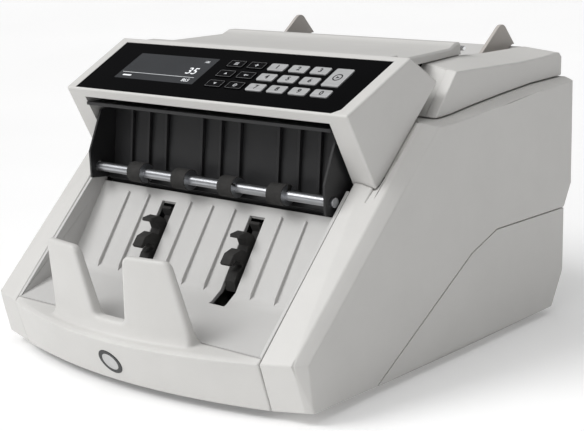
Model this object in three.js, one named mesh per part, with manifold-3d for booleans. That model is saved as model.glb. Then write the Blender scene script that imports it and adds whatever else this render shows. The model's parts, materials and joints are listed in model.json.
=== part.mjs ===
// Desktop banknote counting machine, in millimetres.
// X is left to right seen from the front, -Y is the front and +Z is up.
// The origin is on the table, in the centre of the machine's footprint.
import * as THREE from 'three';
import { mergeVertices } from 'three/addons/utils/BufferGeometryUtils.js';
import Module from 'manifold-3d';

const wasm = await Module();
wasm.setup();

// ---------------------------------------------------------------- driving dimensions
const GAP = 0.4;                     // parting gap between neighbouring pieces
const WALL = 2.6;                    // wall of the moulded covers
const BASE_Z = 5;                    // underside of the base shell
const POD_IN = 105.4;                // inner edge of the sloping side pods
const FASCIA_HALF = POD_IN - GAP;    // half width of the curved front panel
const FASCIA_TOP = { y: -126.7, bulge: 21.9, z: 34.4 };
const FASCIA_FOOT = { y: -118.5, bulge: 15.4, z: BASE_Z };
const TRAY_FRONT = [-123.6, 37.4];   // where the tray floor starts, y and z
const TRAY_BEND = [-88, 48];         // where the floor turns up into the chute
const CHUTE_TOP = [-48, 98];         // top of the chute
const POD_SLOPE = 161.2;             // pod slope: z = y + POD_SLOPE at the inner edge
const HEAD_A = [-62.1, 160.6];       // front edge of the sloping control panel
const HEAD_B = [-7.5, 186.2];        // rear edge of the control panel
const HEAD_R = [15.8, 169.4];        // rear corner of the head's cheek
const HEAD_L = [-35.3, 117.9];       // low corner of the head's cheek
const HEAD_TOE = [-39.8, 115.5];     // its front low corner
const HEAD_ROWS = [                  // side outline of the head, and its half width at each corner
  { p: HEAD_A, x: 118.2 }, { p: HEAD_B, x: 121.1 }, { p: HEAD_R, x: 122.4 },
  { p: HEAD_L, x: 119.5 }, { p: HEAD_TOE, x: 119.2 },
];
const CHEEK_IN = 103.3;              // inner face of the head's cheeks
const BAND_FOOT = 152.7;             // lower edge of the head's front band
const ARM_IN = 96;                   // inner face of the top cover's arms
const ARM_OUT = 124;                 // outer face of the top cover's arms
const REAR = 148;                    // rear face of the covers
// Parting line between the side cover and the top cover's arm, y and z.
const PARTING = [[5, 148.2], [16, 147.9], [26, 148.3], [45, 150.3], [76, 152.8], [110, 155], [REAR, 155.4]];
const BED_LOW = [84, 144.6];         // low end of the hopper bed, upper face
const BED_HIGH = [143.2, 173.6];     // high end of the hopper bed
const GUIDE_X = 87;                  // rest position of the two note guides
const GUIDE_TRAVEL = 22;             // how far each guide slides inwards
const PLATE_X = 99;                  // inner face of the steel frame plates
const SHAFT_R = 3;
const BORE_R = 3.3;
const STACKER = { y: -58, z: 66, r: 24 };
const EXIT = { y: -55, z: 109, r: 6.5 };
const FEED = { y: 66, z: 131, r: 15 };
const PICKUP = { y: 104, z: 141.5, r: 14 };
const MOTOR = { y: 78, z: 62, r: 17 };
const WHEEL_X = 38;                  // distance of each stacker wheel from the middle
const THUMB = { y: 139.8, z0: 152.8, z1: 158.4, r: 8.8, pin: 2.2 };

// ---------------------------------------------------------------- materials
const paint = (color, roughness, metalness = 0) =>
  new THREE.MeshStandardMaterial({ color, roughness, metalness });
const SHELL = paint(0xd9d8d5, 0.55);
const BLACK = paint(0x17181a, 0.5);
const GLASS = paint(0x08090b, 0.12);
const SILVER = paint(0xb9bcc0, 0.35, 0.6);
const STEEL = paint(0x9a9ea3, 0.35, 0.9);
const RUBBER = paint(0x1d1d1e, 0.85);
const BOARD = paint(0x1f5b37, 0.5);
const SCREEN = paint(0x33383d, 0.3);

// ---------------------------------------------------------------- shape helpers
const machine = new THREE.Group();

function outline(points) {
  return new THREE.Shape(points.map(([u, v]) => new THREE.Vector2(u, v)));
}

function extruded(shape, depth, basis, offset) {
  const body = new THREE.ExtrudeGeometry(shape, { depth, bevelEnabled: false });
  const [a, b, c] = basis.map((v) => new THREE.Vector3(...v));
  body.applyMatrix4(new THREE.Matrix4().makeBasis(a, b, c));
  body.translate(...offset);
  return solid(body);
}

// A (y, z) outline drawn out along X from x0 to x1.
function prismX(points, x0, x1) {
  return extruded(outline(points), x1 - x0, [[0, 1, 0], [0, 0, 1], [1, 0, 0]], [x0, 0, 0]);
}

// An (x, y) outline drawn out along Z from z0 to z1.
function prismZ(points, z0, z1) {
  return extruded(outline(points), z1 - z0, [[1, 0, 0], [0, 1, 0], [0, 0, 1]], [0, 0, z0]);
}

function box(x0, x1, y0, y1, z0, z1) {
  const body = new THREE.BoxGeometry(x1 - x0, y1 - y0, z1 - z0);
  body.translate((x0 + x1) / 2, (y0 + y1) / 2, (z0 + z1) / 2);
  return solid(body);
}

// A cylinder whose axis is parallel to X.
function rodX(r, x0, x1, y, z, sides = 24) {
  const body = new THREE.CylinderGeometry(r, r, x1 - x0, sides);
  body.rotateZ(Math.PI / 2);
  body.translate((x0 + x1) / 2, y, z);
  return solid(body);
}

function solid(geometry) {
  const bare = geometry.clone();
  bare.deleteAttribute('normal');
  bare.deleteAttribute('uv');
  const merged = mergeVertices(bare, 1e-4);
  const triVerts = Uint32Array.from(merged.index.array);
  const vertProperties = Float32Array.from(merged.attributes.position.array);
  return new wasm.Manifold(new wasm.Mesh({ numProp: 3, vertProperties, triVerts }));
}

// Rings of equal point count, joined side to side and closed at both ends.
function loft(rings) {
  const count = rings[0].length;
  const vertices = rings.flat();
  const faces = [];
  for (let k = 0; k + 1 < rings.length; k += 1) {
    for (let i = 0; i < count; i += 1) {
      const j = (i + 1) % count;
      const [a, b] = [k * count + i, k * count + j];
      faces.push([a, b, b + count], [a, b + count, a + count]);
    }
  }
  const caps = capTriangles(rings[0]);
  const last = (rings.length - 1) * count;
  for (const [a, b, c] of caps) {
    faces.push([c, b, a], [a + last, b + last, c + last]);
  }
  const body = new THREE.BufferGeometry();
  const position = new THREE.Float32BufferAttribute(vertices.flat(), 3);
  body.setAttribute('position', position);
  body.setIndex(orient(vertices, faces).flat());
  return solid(body);
}

// Triangles of one ring, found in the plane of its two widest directions.
function capTriangles(ring) {
  const spread = [0, 1, 2].map((k) => {
    const values = ring.map((p) => p[k]);
    return Math.max(...values) - Math.min(...values);
  });
  const flat = spread.indexOf(Math.min(...spread));
  const [u, v] = [0, 1, 2].filter((k) => k !== flat);
  const contour = ring.map((p) => new THREE.Vector2(p[u], p[v]));
  const turned = THREE.ShapeUtils.isClockWise(contour);
  const triangles = THREE.ShapeUtils.triangulateShape(turned ? contour.toReversed() : contour, []);
  const n = ring.length - 1;
  const found = turned ? triangles.map((t) => t.map((i) => n - i)) : triangles;
  // The winding must match the ring's own order, which loft relies on.
  return turned ? found.map(([a, b, c]) => [c, b, a]) : found;
}

// Turns all faces over if the body is inside out.
function orient(vertices, faces) {
  let volume = 0;
  for (const [a, b, c] of faces) {
    const [p, q, r] = [vertices[a], vertices[b], vertices[c]].map((v) => new THREE.Vector3(...v));
    volume += p.dot(q.cross(r));
  }
  return volume > 0 ? faces : faces.map(([a, b, c]) => [c, b, a]);
}

// Moves each side of a (y, z) outline inwards by d, with mitred corners.
function inset(points, d) {
  const area = points.reduce((sum, p, i) => {
    const q = points[(i + 1) % points.length];
    return sum + p[0] * q[1] - q[0] * p[1];
  }, 0);
  const side = area > 0 ? d : -d;
  return points.map((p, i) => {
    const before = points[(i + points.length - 1) % points.length];
    const after = points[(i + 1) % points.length];
    const n1 = sideNormal(before, p);
    const n2 = sideNormal(p, after);
    const scale = side / (1 + n1[0] * n2[0] + n1[1] * n2[1]);
    return [p[0] + (n1[0] + n2[0]) * scale, p[1] + (n1[1] + n2[1]) * scale];
  });
}

function sideNormal(p, q) {
  const length = Math.hypot(q[0] - p[0], q[1] - p[1]);
  return [-(q[1] - p[1]) / length, (q[0] - p[0]) / length];
}

function add(name, body, material, parent = machine) {
  const mesh = new THREE.Mesh(toGeometry(body), material);
  mesh.name = name;
  parent.add(mesh);
  return mesh;
}

function toGeometry(body) {
  const { vertProperties, triVerts } = body.getMesh();
  const geometry = new THREE.BufferGeometry();
  geometry.setAttribute('position', new THREE.Float32BufferAttribute(vertProperties, 3));
  geometry.setIndex(Array.from(triVerts));
  return geometry;
}

function joined(bodies) {
  return bodies.reduce((all, one) => all.add(one));
}

function cutBy(body, tools) {
  return tools.reduce((left, tool) => left.subtract(tool), body);
}

const mirrorX = (body) => body.mirror([1, 0, 0]);
const lineZ = (y, [y0, z0], [y1, z1]) => z0 + ((y - y0) * (z1 - z0)) / (y1 - y0);

// ---------------------------------------------------------------- side covers
// Outline of the side cover in (y, z): nose, lower parting line, rear, shoulder and slope.
// Each row also gives x at the inner edge of the chamfer and x on the outer side face.
const SHOULDER_DROP = [2, 3.2, 4, 2.9, 2.2, 2, 2.4];
const SIDE_ROWS = [
  { inner: [-126.7, 34.4], mid: [-122.5, 36.2], out: [-115.6, 35], xMid: 125.8, xOut: 131.2 },
  { inner: [-118.5, BASE_Z], mid: [-115.2, 7.6], out: [-112.6, 7.4], xMid: 127.4, xOut: 131 },
  { inner: [-54, BASE_Z], mid: [-54, BASE_Z], out: [-54, BASE_Z], xMid: 124, xOut: 127.8 },
  { inner: [38, 63.3], mid: [38, 63.3], out: [38, 63.3], xMid: 127, xOut: 129.6 },
  { inner: [63.5, 72.5], mid: [63.5, 72.5], out: [63.5, 72.5], xMid: 127, xOut: 129.8 },
  { inner: [141, 71], mid: [141, 71], out: [140.6, 71], xMid: 127, xOut: 129.5 },
  { inner: [146.5, 87.6], mid: [146.5, 87.6], out: [146, 87.6], xMid: 128, xOut: 131.8 },
  ...PARTING.toReversed().map(([y, z], k) => (
    { inner: [y, z], mid: [y, z], out: [Math.min(y, 147.5), z - SHOULDER_DROP[k]], xMid: 126, xOut: 132 })),
  { inner: [-11.6, 149.6], mid: [-4.8, 148.6], out: [3.2, 145.9], xMid: 126, xOut: 132 },
];

function sideCover() {
  const at = (key, x) => SIDE_ROWS.map((row) => [x(row), ...row[key]]);
  const body = loft([at('inner', () => POD_IN), at('mid', (r) => r.xMid), at('out', (r) => r.xOut)]);
  const hollow = (key, x) => inset(SIDE_ROWS.map((row) => row[key]), WALL)
    .map((p, i) => [x(SIDE_ROWS[i]), ...p]);
  const room = loft([
    hollow('inner', () => POD_IN - 5),
    hollow('mid', (r) => r.xMid - 1.5),
    hollow('out', (r) => r.xOut - WALL),
  ]);
  const shell = body.subtract(room);
  const liner = prismX([
    [-46, 109], [-2, 145.6], [-2, 149], [-30, 149], [-64, 109],
  ], POD_IN, 130.5).intersect(body);
  return cutBy(shell.add(liner), [headSeat(), headGroove()]);
}

// The seat that the head's cheek stands in, a parting gap wider than the cheek.
function headSeat() {
  const corners = inset(HEAD_ROWS.map(({ p }) => p), -GAP);
  const seat = (x) => corners.map(([y, z], i) => [x(HEAD_ROWS[i]), y, z]);
  return loft([seat(() => POD_IN - 10), seat((row) => row.x + GAP)]);
}

// A groove beside the cheek that runs out towards the cheek's low corner.
function headGroove() {
  const station = (y, outer, depth) => {
    const surface = y + POD_SLOPE - 4.6;
    return [[118, y, surface + 9], [outer + 3, y, surface + 9], [outer + 0.4, y, surface + 0.6],
      [121.4, y, surface - depth], [118, y, surface - depth]];
  };
  return loft([station(-48, 121.6, -1), station(-38, 122.2, 1), station(-24, 124.2, 3.4), station(2, 125.6, 4.6)]);
}

// ---------------------------------------------------------------- base shell
const BASE_ROWS = [
  { p: [-53.6, BASE_Z], x: 127.8 },
  { p: [25, BASE_Z], x: 128.2 },
  { p: [131.5, BASE_Z + 0.4], x: 126 },
  { p: [141.6, 28.5], x: 128 },
  { p: [140.6, 70.6], x: 129.5 },
  { p: [63.5, 72.1], x: 129.8 },
  { p: [38.2, 62.9], x: 129.6 },
];
const PORT_ROWS = { z: 30, inletX: -84, rockerX: -52 };

function basePan() {
  const ring = (sign) => BASE_ROWS.map(({ p, x }) => [sign * x, ...p]);
  const body = loft([ring(-1), ring(1)]);
  const floor = BASE_Z + WALL;
  const room = prismX([
    [-62, floor], [130.2, floor], [138.9, 29], [138, 90], [60, 90], [30, 62],
  ], -124.2, 124.2);
  const apron = box(-FASCIA_HALF + 0.2, FASCIA_HALF - 0.2, -112, -50, BASE_Z, floor);
  const inletHole = box(PORT_ROWS.inletX - 14.2, PORT_ROWS.inletX + 14.2, 130, 150, 20.2, 43.8);
  const rockerHole = box(PORT_ROWS.rockerX - 7.2, PORT_ROWS.rockerX + 7.2, 130, 150, 23.2, 40.8);
  const vents = [0, 1, 2, 3, 4].map((k) => box(-18, 22, 130, 150, 24 + k * 6, 27 + k * 6));
  const footHoles = FEET.map(([, x, y]) => prismZ(circle(x, y, 3.4, 16), 0, 12));
  return cutBy(body.subtract(room).add(apron),
    [inletHole, rockerHole, ...vents, ...footHoles]);
}

const FEET = [
  ['foot_front_left', -88, -98], ['foot_front_right', 88, -98],
  ['foot_rear_left', -104, 112], ['foot_rear_right', 104, 112],
];

function circle(x, y, r, sides) {
  return Array.from({ length: sides }, (_, k) => {
    const angle = (2 * Math.PI * k) / sides;
    return [x + r * Math.cos(angle), y + r * Math.sin(angle)];
  });
}

function foot(x, y) {
  const profile = [[0, 0], [8.5, 0], [9.2, 0.8], [9.2, BASE_Z - 0.3], [3, BASE_Z - 0.3], [3, 9.5], [0, 9.5]];
  const body = new THREE.LatheGeometry(profile.map(([r, z]) => new THREE.Vector2(r, z)), 20);
  body.rotateX(Math.PI / 2);
  body.translate(x, y, 0);
  return solid(body);
}

// ---------------------------------------------------------------- front panel and prongs
const bulge = (edge, x) => edge.y - edge.bulge * (1 - (x / 106.2) ** 2);
const SKIN = 2.8;

function fascia() {
  const stations = Array.from({ length: 19 }, (_, k) => FASCIA_HALF * (k / 9 - 1));
  const ledgeRear = TRAY_FRONT[0] - GAP;
  return loft(stations.map((x) => {
    const top = bulge(FASCIA_TOP, x);
    const foot = bulge(FASCIA_FOOT, x);
    return [
      [x, foot, BASE_Z], [x, top, FASCIA_TOP.z],
      [x, Math.min(top + 3, ledgeRear - 1), FASCIA_TOP.z + 1.6], [x, ledgeRear, TRAY_FRONT[1]],
      [x, ledgeRear, FASCIA_TOP.z - 1.6], [x, Math.min(top + 3.4, ledgeRear - 0.4), FASCIA_TOP.z - 2.2],
      [x, foot + SKIN, BASE_Z],
    ];
  }));
}

const prongFront = (x, z) => -146.5 + 0.0024 * x * x + (85 - z) * 0.14;
const prongBack = (x, z) => -140 + 0.0018 * x * x + (85 - z) * 0.18;

function prongRing(x0, x1, z, shrink = 0) {
  const steps = 6;
  const xs = Array.from({ length: steps + 1 }, (_, k) => x0 + ((x1 - x0) * k) / steps);
  const front = xs.map((x) => [x, prongFront(x, z) + shrink, z]);
  const back = xs.toReversed().map((x) => [x, prongBack(x, z) - shrink, z]);
  return [...front, ...back];
}

function prongs() {
  const web = loft([prongRing(-61, 61, 33.5), prongRing(-57, 57, 37.5), prongRing(-56, 56, 44)]);
  const right = loft([
    prongRing(12, 56, 43), prongRing(13, 55.2, 50), prongRing(19.6, 51.6, 83.5), prongRing(20.8, 50.4, 86, 1.4),
  ]);
  return joined([web, right, mirrorX(right)]);
}

const BADGE = { z: 19.2, r: 8.9 };

// A disc square to the leaning front face, standing proud of it by the given height.
function badgeDisc(r, depth, proud) {
  const [foot, top] = [bulge(FASCIA_FOOT, 0), bulge(FASCIA_TOP, 0)];
  const lean = Math.atan2(foot - top, FASCIA_TOP.z - FASCIA_FOOT.z);
  const body = new THREE.CylinderGeometry(r, r, depth, 32);
  body.translate(0, depth / 2 - proud, 0);
  body.rotateX(lean);
  body.translate(0, foot - (BADGE.z - BASE_Z) * Math.tan(lean), BADGE.z);
  return solid(body);
}

// ---------------------------------------------------------------- stacker tray
const slopeZ = (y) => y + POD_SLOPE;

function stackerTray() {
  const half = FASCIA_HALF;
  const sheet = 2.4;
  const floor = prismX([
    TRAY_FRONT, TRAY_BEND, [-80, 53], CHUTE_TOP, [CHUTE_TOP[0] + 2.4, CHUTE_TOP[1] - 1],
    [-77.6, 51.2], [TRAY_BEND[0] + 0.6, TRAY_BEND[1] - sheet], [TRAY_FRONT[0], TRAY_FRONT[1] - sheet],
  ], -half, half);
  const wall = prismX([
    [TRAY_FRONT[0], TRAY_FRONT[1] - sheet], [TRAY_BEND[0], TRAY_BEND[1] - sheet], [-77, 50],
    [CHUTE_TOP[0] + 2, CHUTE_TOP[1] - 2], [CHUTE_TOP[0] + 2, slopeZ(CHUTE_TOP[0] + 2) - 0.8],
    [TRAY_FRONT[0], slopeZ(TRAY_FRONT[0]) - 0.1],
  ], half - sheet, half);
  const slots = [-1, 1].map((s) => box(
    s * WHEEL_X - 6, s * WHEEL_X + 6, STACKER.y - 32, STACKER.y + 7.5, 40, 92));
  const ribs = [];
  for (let k = -4; k <= 4; k += 1) {
    if (Math.abs(Math.abs(k * 19) - WHEEL_X) > 8) ribs.push(chuteRib(k * 19));
  }
  return cutBy(joined([floor, wall, mirrorX(wall), ...ribs]), slots);
}

function chuteRib(x) {
  return prismX([[-84, 49], [-79, 51.5], [-50, 93], [-52.2, 94.8], [-81.4, 55]], x - 1, x + 1);
}

// ---------------------------------------------------------------- control head
const PANEL_ANGLE = Math.atan2(HEAD_B[1] - HEAD_A[1], HEAD_B[0] - HEAD_A[0]);
const panel = new THREE.Group();     // x across, y up the slope, z out of the panel
panel.position.set(0, HEAD_A[0], HEAD_A[1]);
panel.rotation.x = PANEL_ANGLE;
panel.updateMatrix();
machine.add(panel);

function onPanel(body) {
  return body.transform(panel.matrix.toArray());
}

const GLASS_TRAPEZE = { low: 109.9, high: 112.3, v0: 1.6, v1: 55 };

function glassOutline(grow) {
  const { low, high, v0, v1 } = GLASS_TRAPEZE;
  return [[-low - grow, v0 - grow], [low - 4, v0 - grow], [low + grow, v0 + 4],
    [high + grow, v1 + grow], [-high - grow, v1 + grow]];
}

function controlHead() {
  const ring = (sign) => HEAD_ROWS.map(({ p, x }) => [sign * x, ...p]);
  const body = loft([ring(-1), ring(1)]);
  const mouth = prismX([
    [-80, 100], [-80, BAND_FOOT], [-59.3, BAND_FOOT], [-59.3, 158.4], [-8.6, 182.1], [11.6, 167.8],
    [40, 150], [0, 100],
  ], -CHEEK_IN, CHEEK_IN);
  const pocket = onPanel(prismZ(glassOutline(0.3), -1.6, 4));
  const window = onPanel(box(-98, 100, 5.5, 51, -8, 2));
  return cutBy(body, [mouth, pocket, window]);
}

function headUndertray() {
  return prismX([
    [-58.8, 151.6], [-34, 151.6], [9.4, 166.6], [10.4, 165], [-33.2, 149.6], [-58.8, 149.6],
  ], -CHEEK_IN + GAP, CHEEK_IN - GAP);
}

// ---------------------------------------------------------------- keys
const KEY = { w: 13.2, h: 7, rise: 0.5, depth: 3 };
const COLUMNS = [-4.9, 12, 28.9, 45.8, 62.7, 79.6];
const ROWS = [14.8, 25.7, 36.6];
const KEY_NAMES = [
  ['key_down', 'key_currency', 'key_7', 'key_8', 'key_9', 'key_0'],
  ['key_up', 'key_escape', 'key_4', 'key_5', 'key_6', null],
  ['key_menu', 'key_add', 'key_1', 'key_2', 'key_3', null],
];

function keyList() {
  const keys = [];
  ROWS.forEach((v, row) => COLUMNS.forEach((x, column) => {
    const name = KEY_NAMES[row][column];
    if (name) keys.push({ name, x, v, h: KEY.h });
  }));
  keys.push({ name: 'key_start', x: COLUMNS[5], v: ROWS[1], h: ROWS[2] + KEY.h - ROWS[1] });
  return keys;
}

function rounded(x0, y0, x1, y1, r) {
  const corners = [[x1 - r, y0 + r, -90], [x1 - r, y1 - r, 0], [x0 + r, y1 - r, 90], [x0 + r, y0 + r, 180]];
  return corners.flatMap(([x, y, from]) => [0, 45, 90].map((step) => {
    const angle = THREE.MathUtils.degToRad(from + step);
    return [x + r * Math.cos(angle), y + r * Math.sin(angle)];
  }));
}

function keyCap({ x, v, h }) {
  return prismZ(rounded(x, v, x + KEY.w, v + h, 1.1), KEY.rise - KEY.depth, KEY.rise);
}

function panelWindow() {
  const holes = keyList().map(({ x, v, h }) =>
    prismZ(rounded(x - GAP, v - GAP, x + KEY.w + GAP, v + h + GAP, 1.4), -3, 2));
  return cutBy(prismZ(glassOutline(0), -1.3, -0.1), holes);
}

// ---------------------------------------------------------------- top cover and hopper
// Upper edge of the arm, y and z, on its inner face and on its outer face.
const ARM_TOP_IN = [[35.6, 176.8], [77, 176.4], [98, 174.9], [125, 174.2], [140, 173.9], [145, 173.4], [147, 171]];
const ARM_TOP_OUT = [[32, 173.1], [66, 171.9], [98, 170.6], [125, 170.6], [138, 171.3], [144.4, 170.8], [147, 168.2]];
const ARM_FRONT = 10.6;              // y of the foot of the arm's sloping front

function armOutline(top, drop = 0) {
  const gap = GAP + 0.3;
  const foot = PARTING.slice(1, -1).map(([y, z]) => [y, z + gap - drop]);
  return [[ARM_FRONT, 148 + gap - drop], ...foot, [146.4, 155.4 + gap - drop], ...top.toReversed()];
}

function arm() {
  const ring = (x, outline) => outline.map(([y, z]) => [x, y, z]);
  const [inner, outer] = [armOutline(ARM_TOP_IN), armOutline(ARM_TOP_OUT)];
  const body = loft([ring(ARM_IN, inner), ring(ARM_OUT, outer)]);
  const hollow = (top) => inset(armOutline(top, 9), WALL);
  const room = loft([ring(ARM_IN + WALL, hollow(ARM_TOP_IN)), ring(ARM_OUT - WALL, hollow(ARM_TOP_OUT))]);
  const step = prismX([[4, 143.5], [34.6, 178.4], [36.2, 177.1], [6.6, 143.3]], ARM_IN - 1, 115.6);
  return cutBy(body, [room, step]);
}

function topCover() {
  const right = arm();
  const bridge = box(-ARM_IN - 1, ARM_IN + 1, 142.8, 146.9, 150.2, 168.5);
  const apron = prismX([[14.6, 151], [33.6, 172], [37.2, 172], [17.4, 150.6]], -ARM_IN - 1, ARM_IN + 1);
  const wheelSlot = box(-11, 11, 142, 150, THUMB.z0 - GAP, THUMB.z1 + GAP);
  const lug = box(-6, 6, 134, 143.5, 150.2, THUMB.z0 - GAP);
  const pivot = prismZ(circle(0, THUMB.y, THUMB.pin + GAP, 16), 149, THUMB.z0);
  return cutBy(joined([right, mirrorX(right), bridge.subtract(wheelSlot), lug, apron]), [pivot]);
}

// Stations of the deck from front to rear: y, half width and height of the top.
const DECK_ROWS = [
  [-3.2, 104.5, 185.2], [2.6, 104.2, 185.2], [5.4, 104, 182.6], [62, 98.2, 182], [68.4, 97.6, 184.6], [74, 97, 184.4],
];
const DECK_FLOOR = 173;

function hopperDeck() {
  const ring = (y, half, top, floor) => [[-half, y, floor], [half, y, floor],
    [half, y, top - 1.4], [half - 1.2, y, top], [1.2 - half, y, top], [-half, y, top - 1.4]];
  const body = loft(DECK_ROWS.map(([y, half, top]) => ring(y, half, top, DECK_FLOOR)));
  const under = loft(DECK_ROWS.map(([y, half, top]) =>
    ring(Math.min(y, 74 - WALL), half - WALL, Math.min(top, 182.4) - WALL, DECK_FLOOR - 3)));
  const headCut = prismX([[-20, 165], [HEAD_B[0] + 0.4, 190], [HEAD_B[0] + 0.6, HEAD_B[1] + 0.4],
    [HEAD_R[0] + 0.5, HEAD_R[1] + 0.3], [HEAD_R[0], 165]], -130, 130);
  const overArm = loft([ARM_IN - GAP, 130].map((x) => [...ARM_TOP_IN, [147, 160], [0, 160], [0, 176.8]]
    .map(([y, z]) => [x, y, z + GAP])));
  return cutBy(body, [under, headCut, overArm, mirrorX(overArm)]);
}

// The plate that hangs from the deck's rear lip down to the throat of the hopper.
function hopperFrontPlate() {
  const half = 94;
  return prismX([
    [68.2, 179], [70.8, 179], [70.8, 172], [80.5, 149.5], [78.1, 148.5], [68.2, 171],
  ], -half, half);
}

const bedZ = (y) => lineZ(y, BED_LOW, BED_HIGH);

function hopperBed() {
  const half = ARM_IN - GAP;
  const under = (y) => bedZ(y) - 2.8;
  const plate = prismX([BED_LOW, BED_HIGH, [BED_HIGH[0], under(BED_HIGH[0])], [BED_LOW[0], under(BED_LOW[0])]],
    -half, half);
  const rollerSlots = [-1, 1].map((s) => box(s * 27 - 9.5, s * 27 + 9.5, 88.5, 117, 140, 175));
  const guideSlots = [-1, 1].map((s) => box(
    Math.min(s * 57, s * 92.5), Math.max(s * 57, s * 92.5), postY(s) - 3, postY(s) + 3, 140, 185));
  return cutBy(plate, [...rollerSlots, ...guideSlots]);
}

// ---------------------------------------------------------------- note guides
const PINION = { y: 122, r: 9, rack: 10.6 };
const bedAngle = Math.atan2(BED_HIGH[1] - BED_LOW[1], BED_HIGH[0] - BED_LOW[0]);
const postY = (side) => PINION.y - side * PINION.rack * Math.cos(bedAngle);

// A frame that lies in the bed: x across, y up the bed, z square to it.
const bedFrame = new THREE.Matrix4().makeRotationX(bedAngle)
  .setPosition(0, PINION.y, bedZ(PINION.y));

function onBed(body) {
  return body.transform(bedFrame.toArray());
}

function noteGuide(side) {
  const x = side * GUIDE_X;
  const fin = prismX([
    [97, bedZ(97) + 0.5], [BED_HIGH[0] + 0.6, BED_HIGH[1] + 0.8], [146.4, 174.4],
    [135.7, 187.3], [133.7, 188.4], [130.8, 188.5], [128.4, 187.3], [104, 168.9], [96.4, 161],
  ], x - 1.3, x + 1.3);
  const rackY = side * -PINION.rack;
  const post = onBed(box(x - 1.3, x + 1.3, rackY - 1.6, rackY + 1.6, -7.4, 3));
  const reach = side > 0 ? [-28, x + 1.3] : [x - 1.3, 28];
  const rack = onBed(box(...reach, rackY - 1.3, rackY + 1.3, -7.6, -4.4));
  return joined([fin, post, rack]);
}

function guidePinion() {
  const body = prismZ(circle(0, 0, PINION.r, 36), -7.6, -4.4);
  const hub = prismZ(circle(0, 0, 3.2, 16), -10, -4.4);
  return onBed(body.add(hub));
}

// ---------------------------------------------------------------- transport
const PLATE_OUTLINE = [
  [-70, 44], [-46, 8.2], [94, 8.2], [118, 60], [118, 138], [96, 142.5], [78, 149], [40, 149],
  [16, 146], [-50, 146], [-62, 120], [-62, 102.5], [-44, 100.5], [-43.8, 97], [-72, 56],
];

function framePlate(side) {
  const x0 = side > 0 ? PLATE_X : -PLATE_X - 1.5;
  const holes = [STACKER, EXIT, FEED, PICKUP].map(({ y, z }) => rodX(BORE_R, x0 - 1, x0 + 3, y, z, 20));
  const motorHole = rodX(5, x0 - 1, x0 + 3, MOTOR.y, MOTOR.z, 20);
  return cutBy(prismX(PLATE_OUTLINE, x0, x0 + 1.5), side > 0 ? [...holes, motorHole] : holes);
}

// A shaft with rollers: each roller is [middle, width].
function rollerShaft({ y, z, r }, rollers, x0 = -PLATE_X - 3, x1 = PLATE_X + 3) {
  const shaft = rodX(SHAFT_R, x0, x1, y, z, 16);
  return joined([shaft, ...rollers.map(([x, w]) => rodX(r, x - w / 2, x + w / 2, y, z, 28))]);
}

const PULLEY = { x0: PLATE_X + 2.2, x1: PLATE_X + 6, feedR: 11, motorR: 6 };

function feedShaft() {
  const rollers = [-54, -27, 27, 54].map((x) => [x, 14]);
  return rollerShaft(FEED, rollers).add(rodX(PULLEY.feedR, PULLEY.x0, PULLEY.x1, FEED.y, FEED.z, 28));
}

// A belt round the motor pulley and the feed pulley.
function driveBelt() {
  const loop = (r) => tangentLoop(MOTOR, PULLEY.motorR + r, FEED, PULLEY.feedR + r);
  const wide = prismX(loop(1.9), PULLEY.x0 + 0.3, PULLEY.x1 - 0.3);
  return wide.subtract(prismX(loop(GAP), PULLEY.x0 - 1, PULLEY.x1 + 1));
}

// The outer tangent outline round two circles.
function tangentLoop(a, ra, b, rb) {
  const distance = Math.hypot(b.y - a.y, b.z - a.z);
  const heading = Math.atan2(b.z - a.z, b.y - a.y);
  const spread = Math.acos((ra - rb) / distance);
  const arc = (c, r, from, to) => Array.from({ length: 13 }, (_, k) => {
    const angle = from + ((to - from) * k) / 12;
    return [c.y + r * Math.cos(angle), c.z + r * Math.sin(angle)];
  });
  return [
    ...arc(a, ra, heading + spread, heading + 2 * Math.PI - spread),
    ...arc(b, rb, heading - spread, heading + spread),
  ];
}

function driveMotor() {
  const can = rodX(MOTOR.r, PLATE_X - 46, PLATE_X - GAP, MOTOR.y, MOTOR.z, 28);
  const boss = rodX(4.4, PLATE_X - 1, PLATE_X + 1.8, MOTOR.y, MOTOR.z, 20);
  return can.add(boss);
}

function motorPulley() {
  return rodX(PULLEY.motorR, PULLEY.x0, PULLEY.x1, MOTOR.y, MOTOR.z, 24);
}

function stackerWheel(side) {
  const fingers = 8;
  const rim = [];
  for (let k = 0; k < fingers; k += 1) {
    const start = (2 * Math.PI * k) / fingers;
    for (const [turn, r] of [[0, 12], [0.1, 17], [0.35, 21.5], [0.62, STACKER.r], [0.68, 22.6], [0.5, 18], [0.55, 13.5]]) {
      rim.push([STACKER.y + r * Math.cos(start + turn), STACKER.z + r * Math.sin(start + turn)]);
    }
  }
  const x = side * WHEEL_X;
  return prismX(rim, x - 4, x + 4).subtract(rodX(SHAFT_R + GAP, x - 5, x + 5, STACKER.y, STACKER.z, 20));
}

function transportCover() {
  const half = PLATE_X - GAP;
  const sheet = prismX([[-46.6, 99.4], [-40, 107], [-34.5, 147.2], [-37.5, 147.6], [-43, 108], [-48.8, 101.2]], -half, half);
  const ribs = [-80, -64, -48, 48, 64, 80, -16, 0, 16].map((x) =>
    prismX([[-42.8, 108.5], [-37.8, 146.5], [-40.6, 146.5], [-45, 110]], x - 1, x + 1));
  return joined([sheet, ...ribs]);
}

// The note path runs between two black guide plates.
const PATH = [[86, 141.4], [84, 120], [60, 111.5], [-20, 101], [-44, 98.8]];

function lowerGuide() {
  const half = PLATE_X - GAP;
  const under = PATH.slice(1).map(([y, z]) => [y, z - 2.4]);
  return prismX([...PATH.slice(1), ...under.toReversed()], -half, half);
}

function upperGuide() {
  const half = PLATE_X - GAP;
  return prismX([[46, 116.5], [-20, 106.5], [-38, 104.8], [-38, 107.2], [-20, 109], [46, 119]], -half, half);
}

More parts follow.
